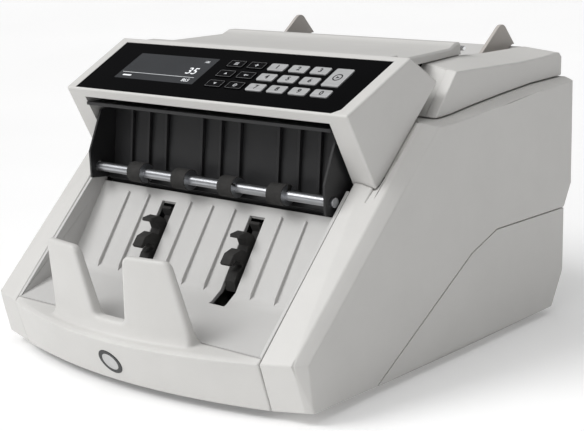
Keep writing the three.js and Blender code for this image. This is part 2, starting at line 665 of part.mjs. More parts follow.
function powerInlet() {
  const { inletX: x, z } = PORT_ROWS;
  const body = box(x - 13.8, x + 13.8, 118, 141.2, 20.6, 43.4);
  const flange = box(x - 13.8, x + 13.8, 139, 141.4, 20.6, 43.4);
  const socket = box(x - 11, x + 11, 126, 146, z - 5.6, z + 9);
  const pins = [[-6, 1.7], [0, 5.4], [6, 1.7]].map(([dx, dz]) =>
    box(x + dx - 1, x + dx + 1, 124, 137, z + dz - 1.8, z + dz + 1.8));
  return joined([body.add(flange).subtract(socket), ...pins]);
}

function rocker() {
  const { rockerX: x } = PORT_ROWS;
  const body = new THREE.CylinderGeometry(9.2, 9.2, 13.4, 32);
  body.rotateZ(Math.PI / 2);
  const barrel = solid(body.translate(x, 133.6, 32));
  return barrel.intersect(box(x - 6.7, x + 6.7, 130, 142.4, 24.2, 39.8));
}

function rearDoor() {
  const half = POD_IN - 0.8;
  const panelBody = prismX([
    [141.2, 72.8], [146.2, 87.6], [147.6, 149.6], [144.9, 149.6], [143.5, 88], [138.8, 74],
  ], -half, half);
  const grip = box(-22, 22, 146.2, 149, 136, 144);
  const ribs = [-60, 0, 60].map((x) => box(x - 1, x + 1, 139.5, 145, 95, 140));
  return joined([panelBody.subtract(grip), ...ribs]);
}

function thumbWheel() {
  const rim = circle(0, 0, THUMB.r, 48).map(([x, y], k) => {
    const dip = k % 2 ? 0.95 : 1;
    return [x * dip, THUMB.y + y * dip];
  });
  const pin = prismZ(circle(0, THUMB.y, THUMB.pin, 16), 149.4, THUMB.z0 + 1);
  return prismZ(rim, THUMB.z0, THUMB.z1).add(pin);
}

function mainBoard() {
  const board = box(-20, 92, -30, 60, 13, 14.6);
  const chips = [[10, 0, 9, 3], [40, 20, 12, 3], [70, 40, 7, 12], [0, 45, 8, 9], [75, 0, 8, 7]]
    .map(([x, y, r, h]) => box(x - r, x + r, y - r, y + r, 14, 14 + h));
  return joined([board, ...chips]);
}

function powerSupply() {
  const tray = box(-94, -46, 20, 100, 12, 14.5);
  const parts = [[-80, 40, 9, 22], [-60, 44, 8, 26], [-72, 76, 14, 24], [-54, 90, 5, 12]]
    .map(([x, y, r, h]) => box(x - r, x + r, y - r, y + r, 13.5, 14 + h));
  return joined([tray, ...parts]);
}

// ---------------------------------------------------------------- the assembly
const cover = sideCover();
add('right_side_cover', cover, SHELL);
add('left_side_cover', mirrorX(cover), SHELL);
add('base_pan', basePan(), SHELL);
for (const [name, x, y] of FEET) add(name, foot(x, y), RUBBER);

const front = joined([fascia(), prongs()]).subtract(badgeDisc(BADGE.r + GAP, 3, 2));
add('front_panel', front, SHELL);
add('front_badge', badgeDisc(BADGE.r, 0.9, 0.3), BLACK);
add('stacker_tray', stackerTray(), SHELL);

add('control_head', controlHead(), SHELL);
add('panel_window', panelWindow(), GLASS, panel);
add('display_module', box(-88, -14, 13, 46, -6, -1.8), SCREEN, panel);
add('keypad_board', box(-8, 96, 11, 48, -6, -4.6), BOARD, panel);
for (const key of keyList()) add(key.name, keyCap(key), SILVER, panel);
add('head_undertray', headUndertray(), BLACK);

add('top_cover', topCover(), SHELL);
add('hopper_deck', hopperDeck(), SHELL);
add('hopper_front_plate', hopperFrontPlate(), BLACK);
add('hopper_bed', hopperBed(), SHELL);
add('note_guide_left', noteGuide(-1), SHELL);
add('note_guide_right', noteGuide(1), SHELL);
add('guide_pinion', guidePinion(), BLACK);

add('left_frame_plate', framePlate(-1), STEEL);
add('right_frame_plate', framePlate(1), STEEL);
add('transport_cover', transportCover(), BLACK);
add('lower_guide_plate', lowerGuide(), BLACK);
add('upper_guide_plate', upperGuide(), BLACK);
add('sensor_bar', box(-90, 90, -14, 8, 121, 133), BLACK);

add('stacker_shaft', rodX(SHAFT_R, -PLATE_X - 3, PLATE_X + 3, STACKER.y, STACKER.z, 16), STEEL);
add('stacker_wheel_left', stackerWheel(-1), RUBBER);
add('stacker_wheel_right', stackerWheel(1), RUBBER);
add('exit_roller_shaft', rollerShaft(EXIT, [[-60, 12], [-20, 12], [20, 12], [60, 12]]), RUBBER);
add('feed_roller_shaft', feedShaft(), RUBBER);
add('pickup_roller_shaft', rollerShaft(PICKUP, [[-27, 16], [27, 16]]), RUBBER);
add('drive_motor', driveMotor(), STEEL);
add('motor_pulley', motorPulley(), STEEL);
add('drive_belt', driveBelt(), RUBBER);

add('power_inlet', powerInlet(), BLACK);
add('power_rocker', rocker(), BLACK);
add('rear_door', rearDoor(), SHELL);
add('gap_thumbwheel', thumbWheel(), BLACK);
add('main_board', mainBoard(), BOARD);
add('power_supply', powerSupply(), STEEL);

export default machine;
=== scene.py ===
"""The looks of a desktop banknote counting machine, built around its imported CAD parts.

Units are metres. X is left to right seen from the front, -Y is the front and +Z is up.
"""

import json
import math

import bmesh
import bpy
from mathutils import Matrix, Vector


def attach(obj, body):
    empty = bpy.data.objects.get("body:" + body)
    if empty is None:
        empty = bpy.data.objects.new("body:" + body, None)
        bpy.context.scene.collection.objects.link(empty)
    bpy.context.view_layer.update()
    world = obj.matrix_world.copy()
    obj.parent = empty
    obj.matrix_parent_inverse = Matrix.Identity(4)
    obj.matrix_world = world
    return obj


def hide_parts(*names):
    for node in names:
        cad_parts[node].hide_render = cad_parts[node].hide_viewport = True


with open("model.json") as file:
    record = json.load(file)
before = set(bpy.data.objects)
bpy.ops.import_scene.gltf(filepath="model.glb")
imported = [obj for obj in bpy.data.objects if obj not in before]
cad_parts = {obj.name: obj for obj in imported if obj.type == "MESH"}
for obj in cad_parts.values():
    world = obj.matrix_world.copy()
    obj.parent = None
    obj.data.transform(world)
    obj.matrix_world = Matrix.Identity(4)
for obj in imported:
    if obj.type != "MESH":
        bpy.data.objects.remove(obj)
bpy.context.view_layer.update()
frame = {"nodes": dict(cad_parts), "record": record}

MM = 0.001

# ---------------------------------------------------------------- shared dimensions, in millimetres
HEAD_A = (-62.1, 160.6)        # front edge of the control panel, y and z
HEAD_B = (-7.5, 186.2)         # rear edge of the control panel, y and z
PANEL_ANGLE = math.atan2(HEAD_B[1] - HEAD_A[1], HEAD_B[0] - HEAD_A[0])
PANEL_FACE = -0.1              # the gloss panel's face, measured out of the panel plane
KEY_W, KEY_H, KEY_RISE = 13.2, 7.0, 0.5
MARK_FOOT = KEY_RISE - 0.02    # where the marks on the keys start, out of the panel plane
MARK_TOP = KEY_RISE + 0.06
DIGIT_DEPTH = 0.05             # how thick the digits are
COLUMNS = (-4.9, 12.0, 28.9, 45.8, 62.7, 79.6)     # left edge of each column of keys, in x
ROWS = (14.8, 25.7, 36.6)                          # lower edge of each row of keys, up the panel
SCREEN = (-87.0, 15.6, -16.0, 44.1)                # the display's left, lower, right and upper edge

# Each key's place on the pad, as (column, row). The start key spans rows 1 and 2 of the last column.
DIGIT_KEYS = {
    "key_1": (2, 2), "key_2": (3, 2), "key_3": (4, 2),
    "key_4": (2, 1), "key_5": (3, 1), "key_6": (4, 1),
    "key_7": (2, 0), "key_8": (3, 0), "key_9": (4, 0), "key_0": (5, 0),
}
FUNCTION_KEYS = {
    "key_down": (0, 0), "key_currency": (1, 0), "key_up": (0, 1),
    "key_escape": (1, 1), "key_menu": (0, 2), "key_add": (1, 2),
}


# ---------------------------------------------------------------- materials
class Nodes:
    """A shorthand for building one node-based material."""

    def __init__(self, name):
        self.material = bpy.data.materials.new(name)
        self.material.use_nodes = True
        self.tree = self.material.node_tree
        self.shader = self.tree.nodes["Principled BSDF"]
        self.place = self.tree.nodes.new("ShaderNodeTexCoord").outputs["Object"]

    def noise(self, scale, detail=2.0, rough=0.5, place=None):
        node = self.tree.nodes.new("ShaderNodeTexNoise")
        node.inputs["Scale"].default_value = scale
        node.inputs["Detail"].default_value = detail
        node.inputs["Roughness"].default_value = rough
        self.tree.links.new(place or self.place, node.inputs["Vector"])
        return node.outputs["Fac"]

    def voronoi(self, scale):
        node = self.tree.nodes.new("ShaderNodeTexVoronoi")
        node.inputs["Scale"].default_value = scale
        self.tree.links.new(self.place, node.inputs["Vector"])
        return node.outputs["Distance"]

    def stretched(self, x, y, z):
        node = self.tree.nodes.new("ShaderNodeMapping")
        node.inputs["Scale"].default_value = (x, y, z)
        self.tree.links.new(self.place, node.inputs["Vector"])
        return node.outputs["Vector"]

    def ramp(self, value, stops):
        node = self.tree.nodes.new("ShaderNodeValToRGB")
        elements = node.color_ramp.elements
        while len(elements) < len(stops):
            elements.new(0.5)
        for element, (position, colour) in zip(elements, stops):
            element.position = position
            element.color = (*colour, 1.0)
        self.tree.links.new(value, node.inputs["Fac"])
        return node.outputs["Color"]

    def spread(self, value, low, high):
        node = self.tree.nodes.new("ShaderNodeMapRange")
        node.inputs["To Min"].default_value = low
        node.inputs["To Max"].default_value = high
        self.tree.links.new(value, node.inputs["Value"])
        return node.outputs["Result"]

    def set(self, name, value):
        if isinstance(value, (float, int, tuple)):
            self.shader.inputs[name].default_value = value
        else:
            self.tree.links.new(value, self.shader.inputs[name])

    def bump(self, height, strength, distance, below=None):
        node = self.tree.nodes.new("ShaderNodeBump")
        node.inputs["Strength"].default_value = strength
        node.inputs["Distance"].default_value = distance
        self.tree.links.new(height, node.inputs["Height"])
        if below is not None:
            self.tree.links.new(below, node.inputs["Normal"])
        self.tree.links.new(node.outputs["Normal"], self.shader.inputs["Normal"])
        return node.outputs["Normal"]


def shade(colour, factor):
    """The colour made lighter or darker, and kept within 1."""
    return tuple(min(1.0, c * factor) for c in colour)


def plastic(name, colour, rough=0.5, grain=2600.0, depth=0.00004):
    """Moulded plastic: spark-eroded grain, faint flow marks and slightly uneven gloss."""
    n = Nodes(name)
    tint = n.noise(26.0, 4.0, 0.6)
    n.set("Base Color", n.ramp(tint, [(0.3, shade(colour, 0.972)), (0.7, shade(colour, 1.015))]))
    n.set("Roughness", n.spread(n.noise(85.0, 3.0), rough - 0.05, rough + 0.06))
    n.set("Specular IOR Level", 0.4)
    flow = n.bump(n.noise(55.0, 2.0), 0.05, 0.0004)
    n.bump(n.noise(grain, 2.0, 0.55), 0.32, depth, flow)
    return n.material


def gloss(name, colour, rough, specular=0.5):
    """A smooth moulded or printed film with faint waviness and fine dust in its gloss."""
    n = Nodes(name)
    tint = n.noise(40.0, 3.0)
    n.set("Base Color", n.ramp(tint, [(0.35, shade(colour, 0.9)), (0.65, shade(colour, 1.1))]))
    n.set("Roughness", n.spread(n.noise(700.0, 4.0, 0.7), rough * 0.75, rough * 1.35))
    n.set("Specular IOR Level", specular)
    n.bump(n.noise(30.0, 2.0), 0.04, 0.0003)
    return n.material


def metal(name, colour, rough, metallic=1.0):
    """Metal with a drawn grain along X."""
    n = Nodes(name)
    streaks = n.noise(1.0, 3.0, 0.6, n.stretched(40.0, 900.0, 900.0))
    n.set("Base Color", n.ramp(streaks, [(0.25, shade(colour, 0.86)), (0.75, shade(colour, 1.08))]))
    n.set("Metallic", metallic)
    n.set("Roughness", n.spread(streaks, rough - 0.06, rough + 0.1))
    n.bump(streaks, 0.12, 0.00003)
    return n.material


def rubber(name, colour):
    """Matt elastomer with a fine moulded skin and dusty high spots."""
    n = Nodes(name)
    dust = n.noise(160.0, 5.0, 0.65)
    n.set("Base Color", n.ramp(dust, [(0.35, shade(colour, 0.8)), (0.75, shade(colour, 1.5))]))
    n.set("Roughness", n.spread(dust, 0.72, 0.9))
    n.set("Specular IOR Level", 0.3)
    n.bump(n.noise(1800.0, 3.0), 0.4, 0.00006)
    return n.material


def board_material():
    """Green solder mask with lighter copper lines under it."""
    n = Nodes("circuit_board")
    lines = n.voronoi(260.0)
    n.set("Base Color", n.ramp(lines, [(0.08, (0.05, 0.24, 0.10)), (0.16, (0.012, 0.09, 0.035))]))
    n.set("Roughness", n.spread(n.noise(300.0), 0.28, 0.5))
    n.bump(lines, 0.2, 0.00004)
    return n.material


def screen_material():
    """A dark liquid crystal display with slightly uneven darkness."""
    n = Nodes("display_glass")
    shadow = n.noise(14.0, 2.0)
    n.set("Base Color", n.ramp(shadow, [(0.3, (0.030, 0.032, 0.035)), (0.7, (0.046, 0.049, 0.054))]))
    n.set("Roughness", n.spread(n.noise(900.0, 3.0), 0.16, 0.24))
    n.bump(n.noise(5200.0, 1.0), 0.1, 0.00001)
    return n.material


def lit_material(name, colour, strength):
    """A surface that gives off a little light of its own."""
    n = Nodes(name)
    n.set("Base Color", n.ramp(n.noise(300.0), [(0.3, shade(colour, 0.9)), (0.7, colour)]))
    n.set("Emission Color", (*colour, 1.0))
    n.set("Emission Strength", strength)
    n.set("Roughness", 0.5)
    return n.material


COVER = plastic("cover_plastic", (0.640, 0.632, 0.614))
COVER_INNER = plastic("tray_plastic", (0.560, 0.555, 0.545), rough=0.55)
GUIDE = plastic("guide_plastic", (0.480, 0.452, 0.425))
BLACK = plastic("black_plastic", (0.018, 0.018, 0.019), rough=0.42, depth=0.00003)
PANEL = gloss("panel_gloss", (0.0026, 0.0026, 0.0030), rough=0.14, specular=0.03)
SILVER_KEY = metal("key_silver", (0.56, 0.565, 0.57), rough=0.4, metallic=0.4)
BLACK_KEY = gloss("key_black", (0.0035, 0.0035, 0.004), rough=0.2, specular=0.05)
OUTLINE = metal("key_outline", (0.42, 0.42, 0.43), rough=0.35)
INK = gloss("legend_ink", (0.006, 0.006, 0.007), rough=0.4, specular=0.1)
PALE_INK = gloss("legend_pale", (0.62, 0.63, 0.65), rough=0.4)
LCD = screen_material()
LCD_LIGHT = lit_material("display_segments", (0.80, 0.82, 0.84), 0.35)
STEEL = metal("zinc_steel", (0.50, 0.51, 0.53), rough=0.34)
# The frame plates' near-black finish is painted shade: it makes them as dark as the shaded inside of the
# machine.
SHADE_DARK_STEEL = plastic("coated_steel", (0.020, 0.020, 0.021), rough=0.36, grain=900.0, depth=0.00006)
CHROME = metal("chrome", (0.78, 0.79, 0.80), rough=0.12)
RUBBER = rubber("rubber", (0.028, 0.027, 0.026))
BOARD = board_material()
BADGE_DARK = gloss("badge_dark", (0.030, 0.031, 0.033), rough=0.3, specular=0.2)
BADGE_LIGHT = gloss("badge_light", (0.56, 0.56, 0.56), rough=0.35)

SLOT_MATERIALS = {
    "cover_plastic": COVER, "black_plastic": BLACK, "rubber": RUBBER, "steel": STEEL, "coated_steel": SHADE_DARK_STEEL,
    "circuit_board": BOARD, "screen": LCD, "panel_gloss": PANEL, "key_silver": SILVER_KEY,
}


# ---------------------------------------------------------------- helpers
CREASE = 32.0                  # an edge that turns by more than this is shaded as sharp, in degrees
SHALLOW_CREASE = 11.0          # the same on the side covers, whose facets meet at shallow angles
FLAT = 0.6                     # faces that meet within this angle are joined, in degrees
SAME_PLACE = 0.00002           # corners of a CAD mesh this close are one corner, in metres
TOUCHING = 0.000001            # the same for the corners of the pieces made here


def paint(obj, *materials):
    """Replaces a piece's materials."""
    obj.data.materials.clear()
    for material in materials:
        obj.data.materials.append(material)


def link(name, mesh):
    """Puts a mesh in the scene as a piece of its own."""
    obj = bpy.data.objects.new(name, mesh)
    bpy.context.scene.collection.objects.link(obj)
    return obj


def weld(mesh):
    """Joins corners that lie on the same point, and drops faces without area."""
    bm = bmesh.new()
    bm.from_mesh(mesh)
    bmesh.ops.remove_doubles(bm, verts=bm.verts, dist=TOUCHING)
    bmesh.ops.dissolve_degenerate(bm, edges=bm.edges, dist=TOUCHING)
    bm.to_mesh(mesh)
    bm.free()


def apply_modifiers(obj):
    """Turns a piece's modifiers into plain mesh."""
    depsgraph = bpy.context.evaluated_depsgraph_get()
    done = bpy.data.meshes.new_from_object(obj.evaluated_get(depsgraph), depsgraph=depsgraph)
    old = obj.data
    obj.modifiers.clear()
    obj.data = done
    bpy.data.meshes.remove(old)


def soften(obj, width, segments, angle):
    """Rounds, by width in mm, the outer edges that turn by more than angle and are longer than width."""
    bm = bmesh.new()
    bm.from_mesh(obj.data)
    bmesh.ops.remove_doubles(bm, verts=bm.verts, dist=SAME_PLACE)
    bmesh.ops.dissolve_limit(bm, angle_limit=math.radians(FLAT), verts=bm.verts, edges=bm.edges)
    weights = bm.edges.layers.float.new("bevel_weight_edge")
    for edge in bm.edges:
        turns = len(edge.link_faces) == 2 and edge.calc_face_angle(0.0) >= math.radians(angle)
        if turns and edge.is_convex and edge.calc_length() > width * MM:
            edge[weights] = 1.0
    bm.to_mesh(obj.data)
    bm.free()
    bevel = obj.modifiers.new("round", "BEVEL")
    bevel.limit_method = "WEIGHT"
    bevel.width = width * MM
    bevel.segments = segments
    bevel.use_clamp_overlap = False
    bevel.miter_outer = "MITER_ARC"
    apply_modifiers(obj)
    weld(obj.data)
    smooth(obj)


def smooth(obj, crease=CREASE):
    """Shades a piece as smooth, apart from the edges that turn by more than crease."""
    obj.data.shade_smooth()
    obj.data.set_sharp_from_angle(angle=math.radians(crease))
    weighted = obj.modifiers.new("normals", "WEIGHTED_NORMAL")
    weighted.keep_sharp = True
    apply_modifiers(obj)


def refine(node, body, material, width, **rounding):
    """A visible stand-in for a CAD node, with its edges rounded."""
    obj = link(node + "_finish", frame["nodes"][node].data.copy())
    soften(obj, width, **rounding)
    paint(obj, material)
    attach(obj, body)
    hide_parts(node)
    return obj


def slot_of(node):
    """The material slot that the record gives a CAD node."""
    return next(s["material_slot"] for s in frame["record"]["subparts"] if s["node"] == node)


def from_rings(name, rings, caps=True):
    """A skin through closed rings of equal point count in mm, with its ends closed by caps."""
    bm = bmesh.new()
    rows = [[bm.verts.new(Vector(p) * MM) for p in ring] for ring in rings]
    count = len(rows[0])
    for low, high in zip(rows, rows[1:]):
        for i in range(count):
            j = (i + 1) % count
            bm.faces.new((low[i], low[j], high[j], high[i]))
    if caps:
        bm.faces.new(list(reversed(rows[0])))
        bm.faces.new(rows[-1])
    bmesh.ops.remove_doubles(bm, verts=bm.verts, dist=TOUCHING)
    bmesh.ops.recalc_face_normals(bm, faces=bm.faces)
    mesh = bpy.data.meshes.new(name)
    bm.to_mesh(mesh)
    bm.free()
    return link(name, mesh)


def on_panel(x, v, out):
    """A point on the sloping panel, from x, the distance up the slope and out of it, in mm."""
    y = HEAD_A[0] + v * math.cos(PANEL_ANGLE) - out * math.sin(PANEL_ANGLE)
    z = HEAD_A[1] + v * math.sin(PANEL_ANGLE) + out * math.cos(PANEL_ANGLE)
    return (x, y, z)


PANEL_ORIGIN = Vector((0, HEAD_A[0], HEAD_A[1])) * MM
PANEL_MATRIX = Matrix.Translation(PANEL_ORIGIN) @ Matrix.Rotation(PANEL_ANGLE, 4, "X")


def rounded(x0, y0, x1, y1, r, steps=4):
    """A rectangle with corners of radius r, each made of steps pieces."""
    corners = (
        (x1 - r, y0 + r, -90), (x1 - r, y1 - r, 0),
        (x0 + r, y1 - r, 90), (x0 + r, y0 + r, 180),
    )
    points = []
    for cx, cy, start in corners:
        for k in range(steps + 1):
            angle = math.radians(start + 90 * k / steps)
            points.append((cx + r * math.cos(angle), cy + r * math.sin(angle)))
    return points


def slab(name, outline, low, high):
    """An (x, v) outline on the panel, from low to high out of it."""
    return from_rings(name, [[on_panel(x, v, h) for x, v in outline] for h in (low, high)])


def ring_slab(name, outer, inner, low, high):
    """A frame on the panel between two (x, v) outlines of equal point count."""
    rings = [
        [on_panel(*p, low) for p in outer], [on_panel(*p, high) for p in outer],
        [on_panel(*p, high) for p in inner], [on_panel(*p, low) for p in inner],
        [on_panel(*p, low) for p in outer],
    ]
    return from_rings(name, rings, caps=False)


def written(name, text, x, v, size, foot=KEY_RISE, bold=0.0):
    """Digits lying on the panel as a thin solid, from foot up."""
    curve = bpy.data.curves.new(name, "FONT")
    curve.body = text
    curve.size = size * MM
    curve.align_x = "CENTER"
    curve.align_y = "CENTER"
    curve.extrude = DIGIT_DEPTH * MM / 2
    curve.offset = bold * MM
    font = bpy.data.objects.new(name + "_curve", curve)
    bpy.context.scene.collection.objects.link(font)
    bpy.context.view_layer.update()
    depsgraph = bpy.context.evaluated_depsgraph_get()
    mesh = bpy.data.meshes.new_from_object(font.evaluated_get(depsgraph), depsgraph=depsgraph)
    bpy.data.objects.remove(font)
    weld(mesh)
    obj = link(name, mesh)
    mesh.transform(PANEL_MATRIX @ Matrix.Translation(Vector((x, v, foot + DIGIT_DEPTH / 2)) * MM))
    return obj


def circle(x, y, r, steps=28):
    """The corners of a round outline."""
    turns = [2 * math.pi * k / steps for k in range(steps)]
    return [(x + r * math.cos(turn), y + r * math.sin(turn)) for turn in turns]


def rod(name, radius, x0, x1, y, z, side):
    """A round pin along X with a small chamfer at its ends, mirrored when side is -1."""
    chamfer = 0.3
    ends = (
        (x0, radius - chamfer), (x0 + chamfer, radius),
        (x1 - chamfer, radius), (x1, radius - chamfer),
    )
    rings = [[(side * x, across, up) for across, up in circle(y, z, r, steps=24)] for x, r in ends]
    obj = from_rings(name, rings)
    smooth(obj)
    return obj


def join(name, objects):
    """Makes one piece of several."""
    bm = bmesh.new()
    for obj in objects:
        bm.from_mesh(obj.data)
        bpy.data.objects.remove(obj)
    mesh = bpy.data.meshes.new(name)
    bm.to_mesh(mesh)
    bm.free()
    return link(name, mesh)


# ---------------------------------------------------------------- covers
def side_covers():
    for side in ("left", "right"):
        cover = refine(side + "_side_cover", "chassis", COVER, 0.9, segments=3, angle=9.0)
        smooth(cover, SHALLOW_CREASE)


# Corners (y, z) of the head's side outline, each with the half width there.
HEAD_ROWS = (
    (HEAD_A, 118.2), (HEAD_B, 121.1), ((15.8, 169.4), 122.4),
    ((-35.3, 117.9), 119.5), ((-39.8, 115.5), 119.2),
)
# What is cut out of the head: the mouth as (y, z), and the panel's seat and window as (x, v).
MOUTH = (
    (-80, 100), (-80, 152.7), (-59.3, 152.7), (-59.3, 158.4),
    (-8.6, 182.1), (11.6, 167.8), (40, 150), (0, 100),
)
MOUTH_HALF = 103.3
PANEL_SEAT = ((-110.2, 1.3), (105.9, 1.3), (110.2, 5.6), (112.6, 55.3), (-112.6, 55.3))
WINDOW = ((-98, 5.5), (100, 5.5), (100, 51), (-98, 51))
PANEL_SEAT_SPAN = (-1.6, 4.0)  # from the cut's floor to clear of the head, out of the panel plane
WINDOW_SPAN = (-8.0, 2.0)


def carve(obj, cutters):
    """Cuts other solids out of a piece and uses them up."""
    for cutter in cutters:
        cut = obj.modifiers.new(cutter.name, "BOOLEAN")
        cut.operation = "DIFFERENCE"
        cut.object = cutter
        cut.solver = "EXACT"
    apply_modifiers(obj)
    for cutter in cutters:
        bpy.data.objects.remove(cutter)


def control_head():
    """The sloping head: a rounded solid with its mouth and the panel's seat and window cut out."""
    sides = [[(side * x, y, z) for (y, z), x in HEAD_ROWS] for side in (-1, 1)]
    head = from_rings("control_head_finish", sides)
    soften(head, 1.3, segments=4, angle=15.0)
    mouth = from_rings("mouth", [[(x, y, z) for y, z in MOUTH] for x in (-MOUTH_HALF, MOUTH_HALF)])
    seat = slab("panel_seat", PANEL_SEAT, *PANEL_SEAT_SPAN)
    window = slab("window", WINDOW, *WINDOW_SPAN)
    carve(head, [mouth, seat, window])
    smooth(head)
    paint(head, COVER)
    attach(head, "chassis")
    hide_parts("control_head")


def top_cover():
    refine("top_cover", "chassis", COVER, 1.1, segments=3, angle=9.0)


# The pins at the deck's front corners, on the right side.
DECK_PIN = {"radius": 1.5, "x0": 94.0, "x1": 98.6, "y": 75.6, "z": 180.4}


def hopper():
    refine("hopper_deck", "chassis", COVER, 0.35, segments=3, angle=20.0)
    refine("hopper_bed", "chassis", COVER_INNER, 0.3, segments=2, angle=20.0)
    refine("hopper_front_plate", "chassis", BLACK, 0.3, segments=2, angle=20.0)
    for side, sign in (("left", -1), ("right", 1)):
        refine("note_guide_" + side, "note_guide_" + side, GUIDE, 0.3, segments=3, angle=9.0)
        pin = rod("deck_pin_" + side, side=sign, **DECK_PIN)
        paint(pin, CHROME)
        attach(pin, "chassis")


def base_and_door():
    refine("base_pan", "chassis", COVER, 0.5, segments=2, angle=20.0)
    refine("rear_door", "rear_door", COVER, 0.6, segments=2, angle=9.0)


# ---------------------------------------------------------------- front panel and note rests
# The fascia's upper and lower edge: y at its ends, how far its middle stands forward of that, and z.
FASCIA_TOP = {"y": -126.7, "bulge": 21.9, "z": 34.4}
FASCIA_FOOT = {"y": -118.5, "bulge": 15.4, "z": 5.0}
FASCIA_SPAN = 106.2            # half width at which the edges come back to their y
FASCIA_HALF = 105.0            # half width of the fascia
FASCIA_SKIN = 2.8              # its thickness at the foot
FASCIA_STEPS = 60              # pieces across its width
LEDGE_REAR = -124.0            # y and z of the rear edge of the ledge on its top
LEDGE_TOP = 37.3
LIP_RISE, LIP_DEPTH = 1.6, 3.0                     # the lip in front of the ledge, from the upper edge
LEDGE_DROP, LEDGE_SKIN = 2.2, 3.4                  # the front of the ledge's underside, from the same
LEDGE_REAR_DROP = 1.6                              # the rear of its underside, below the same


def bulge(edge, x):
    """The fascia's y at x along one of its edges."""
    return edge["y"] - edge["bulge"] * (1 - (x / FASCIA_SPAN) ** 2)


def fascia_solid():
    """The bowed lower panel with the ledge on its top."""
    upper, lower = FASCIA_TOP["z"], FASCIA_FOOT["z"]
    rings = []
    for k in range(FASCIA_STEPS + 1):
        x = FASCIA_HALF * (2 * k / FASCIA_STEPS - 1)
        top, foot = bulge(FASCIA_TOP, x), bulge(FASCIA_FOOT, x)
        # At its ends the upper edge is nearly as far back as the ledge, so the lip gets narrower there.
        crest = min(top + LIP_DEPTH, LEDGE_REAR - 1)
        inside = min(top + LEDGE_SKIN, LEDGE_REAR - 0.4)
        rings.append([
            (x, foot, lower), (x, top, upper), (x, crest, upper + LIP_RISE),
            (x, LEDGE_REAR, LEDGE_TOP), (x, LEDGE_REAR, upper - LEDGE_REAR_DROP),
            (x, inside, upper - LEDGE_DROP), (x, foot + FASCIA_SKIN, lower),
        ])
    return from_rings("fascia_solid", rings)


# Corners of the right note rest seen from the front: x, z and the radius of each corner.
REST_CORNERS = (
    (60.0, 33.0, 0.0), (59.0, 38.0, 5.0), (51.9, 86.3, 5.0), (20.2, 86.3, 5.5), (12.6, 44.6, 3.5),
)
REST_DEPTH = 8.0               # thickness of the flat blank that the rests are bent from
REST_RIM = 2.4                 # radius of its rim
REST_TOP = 85.0                # height from which the rests' lean is measured
REST_BLEND = 2.6               # how quickly the flare at their root dies out
REST_CUTS_Z = range(34, 87, 2)  # where the blank is cut so that it can bend
REST_CUTS_X = range(-58, 60, 4)
REST_FRONT = {"top": -146.5, "crown": 0.0024, "lean": 0.14, "flare": -3.2, "root": 36.5}
REST_BACK = {"top": -140.0, "crown": 0.0018, "lean": 0.18, "flare": 2.4, "root": 37.5}


def filleted(corners, steps=6):
    """A closed outline with an arc of the given radius in each corner."""
    points = []
    count = len(corners)
    for i, (x, z, radius) in enumerate(corners):
        here = Vector((x, z))
        if radius == 0.0:
            points.append((x, z))
            continue
        before = (Vector(corners[i - 1][:2]) - here).normalized()
        after = (Vector(corners[(i + 1) % count][:2]) - here).normalized()
        half = before.angle(after) / 2
        reach = radius / math.tan(half)
        centre = here + (before + after).normalized() * (radius / math.sin(half))
        start = here + before * reach - centre
        turn = start.angle_signed(here + after * reach - centre)
        for k in range(steps + 1):
            spoke = start.copy()
            spoke.rotate(Matrix.Rotation(-turn * k / steps, 2))
            points.append(tuple(centre + spoke))
    return points


def rest_skin(x, z, top, crown, lean, flare, root):
    """The y of a rest's face, which is crowned across, leans, and flares out at its root."""
    return top + crown * x * x + (REST_TOP - z) * lean + flare * math.exp(-max(z - root, 0) / REST_BLEND)


def rests_solid():
    """Both note rests and the web between them: a flat blank, cut into a grid and bent to shape."""
    right = list(REST_CORNERS)
    left = [(-x, z, radius) for x, z, radius in reversed(right)]
    outline = filleted(right + left)
    rings = [[(x, y, z) for x, z in outline] for y in (0.0, REST_DEPTH)]
    obj = from_rings("rests_solid", rings)
    bevel = obj.modifiers.new("rim", "BEVEL")
    bevel.width = REST_RIM * MM
    bevel.segments = 5
    bevel.angle_limit = math.radians(60)
    bevel.use_clamp_overlap = False
    apply_modifiers(obj)
    bm = bmesh.new()
    bm.from_mesh(obj.data)
    cuts = [((0, 0, z), (0, 0, 1)) for z in REST_CUTS_Z]
    cuts += [((x, 0, 0), (1, 0, 0)) for x in REST_CUTS_X]
    for place, normal in cuts:
        everything = bm.verts[:] + bm.edges[:] + bm.faces[:]
        bmesh.ops.bisect_plane(bm, geom=everything, plane_co=Vector(place) * MM, plane_no=normal)
    for vert in bm.verts:
        x, y, z = vert.co / MM
        near, far = rest_skin(x, z, **REST_FRONT), rest_skin(x, z, **REST_BACK)
        vert.co.y = (near + (far - near) * y / REST_DEPTH) * MM
    bm.to_mesh(obj.data)
    bm.free()
    return obj


def fused(name, objects, voxel, rounds):
    """One skin round several solids, with softly blended inner corners."""
    obj = join(name, objects)
    remesh = obj.modifiers.new("skin", "REMESH")
    remesh.mode = "VOXEL"
    remesh.voxel_size = voxel * MM
    relax = obj.modifiers.new("relax", "SMOOTH")
    relax.factor = 0.5
    relax.iterations = rounds
    apply_modifiers(obj)
    return obj


def front():
    """The lower panel with both note rests in one skin, and the tray behind it."""
    panel = fused("front_panel_finish", [fascia_solid(), rests_solid()], voxel=0.8, rounds=5)
    panel.data.shade_smooth()
    paint(panel, COVER)
    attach(panel, "chassis")
    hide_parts("front_panel")
    refine("stacker_tray", "chassis", COVER_INNER, 0.4, segments=2, angle=9.0)


# Turned profile of the badge: radius and height over its face, from the rim to the middle.
BADGE_PROFILE = (
    (8.9, -0.8), (8.9, -0.2), (8.7, 0.0), (6.25, 0.0), (6.1, -0.15), (5.95, 0.0), (4.35, 0.0), (4.2, -0.12),
    (4.05, 0.0), (2.45, 0.0), (2.3, -0.12), (2.15, 0.0), (0.2, 0.0),
)
BADGE_DISC = 6.1               # the lighter disc lies within this radius, the dark rim outside it


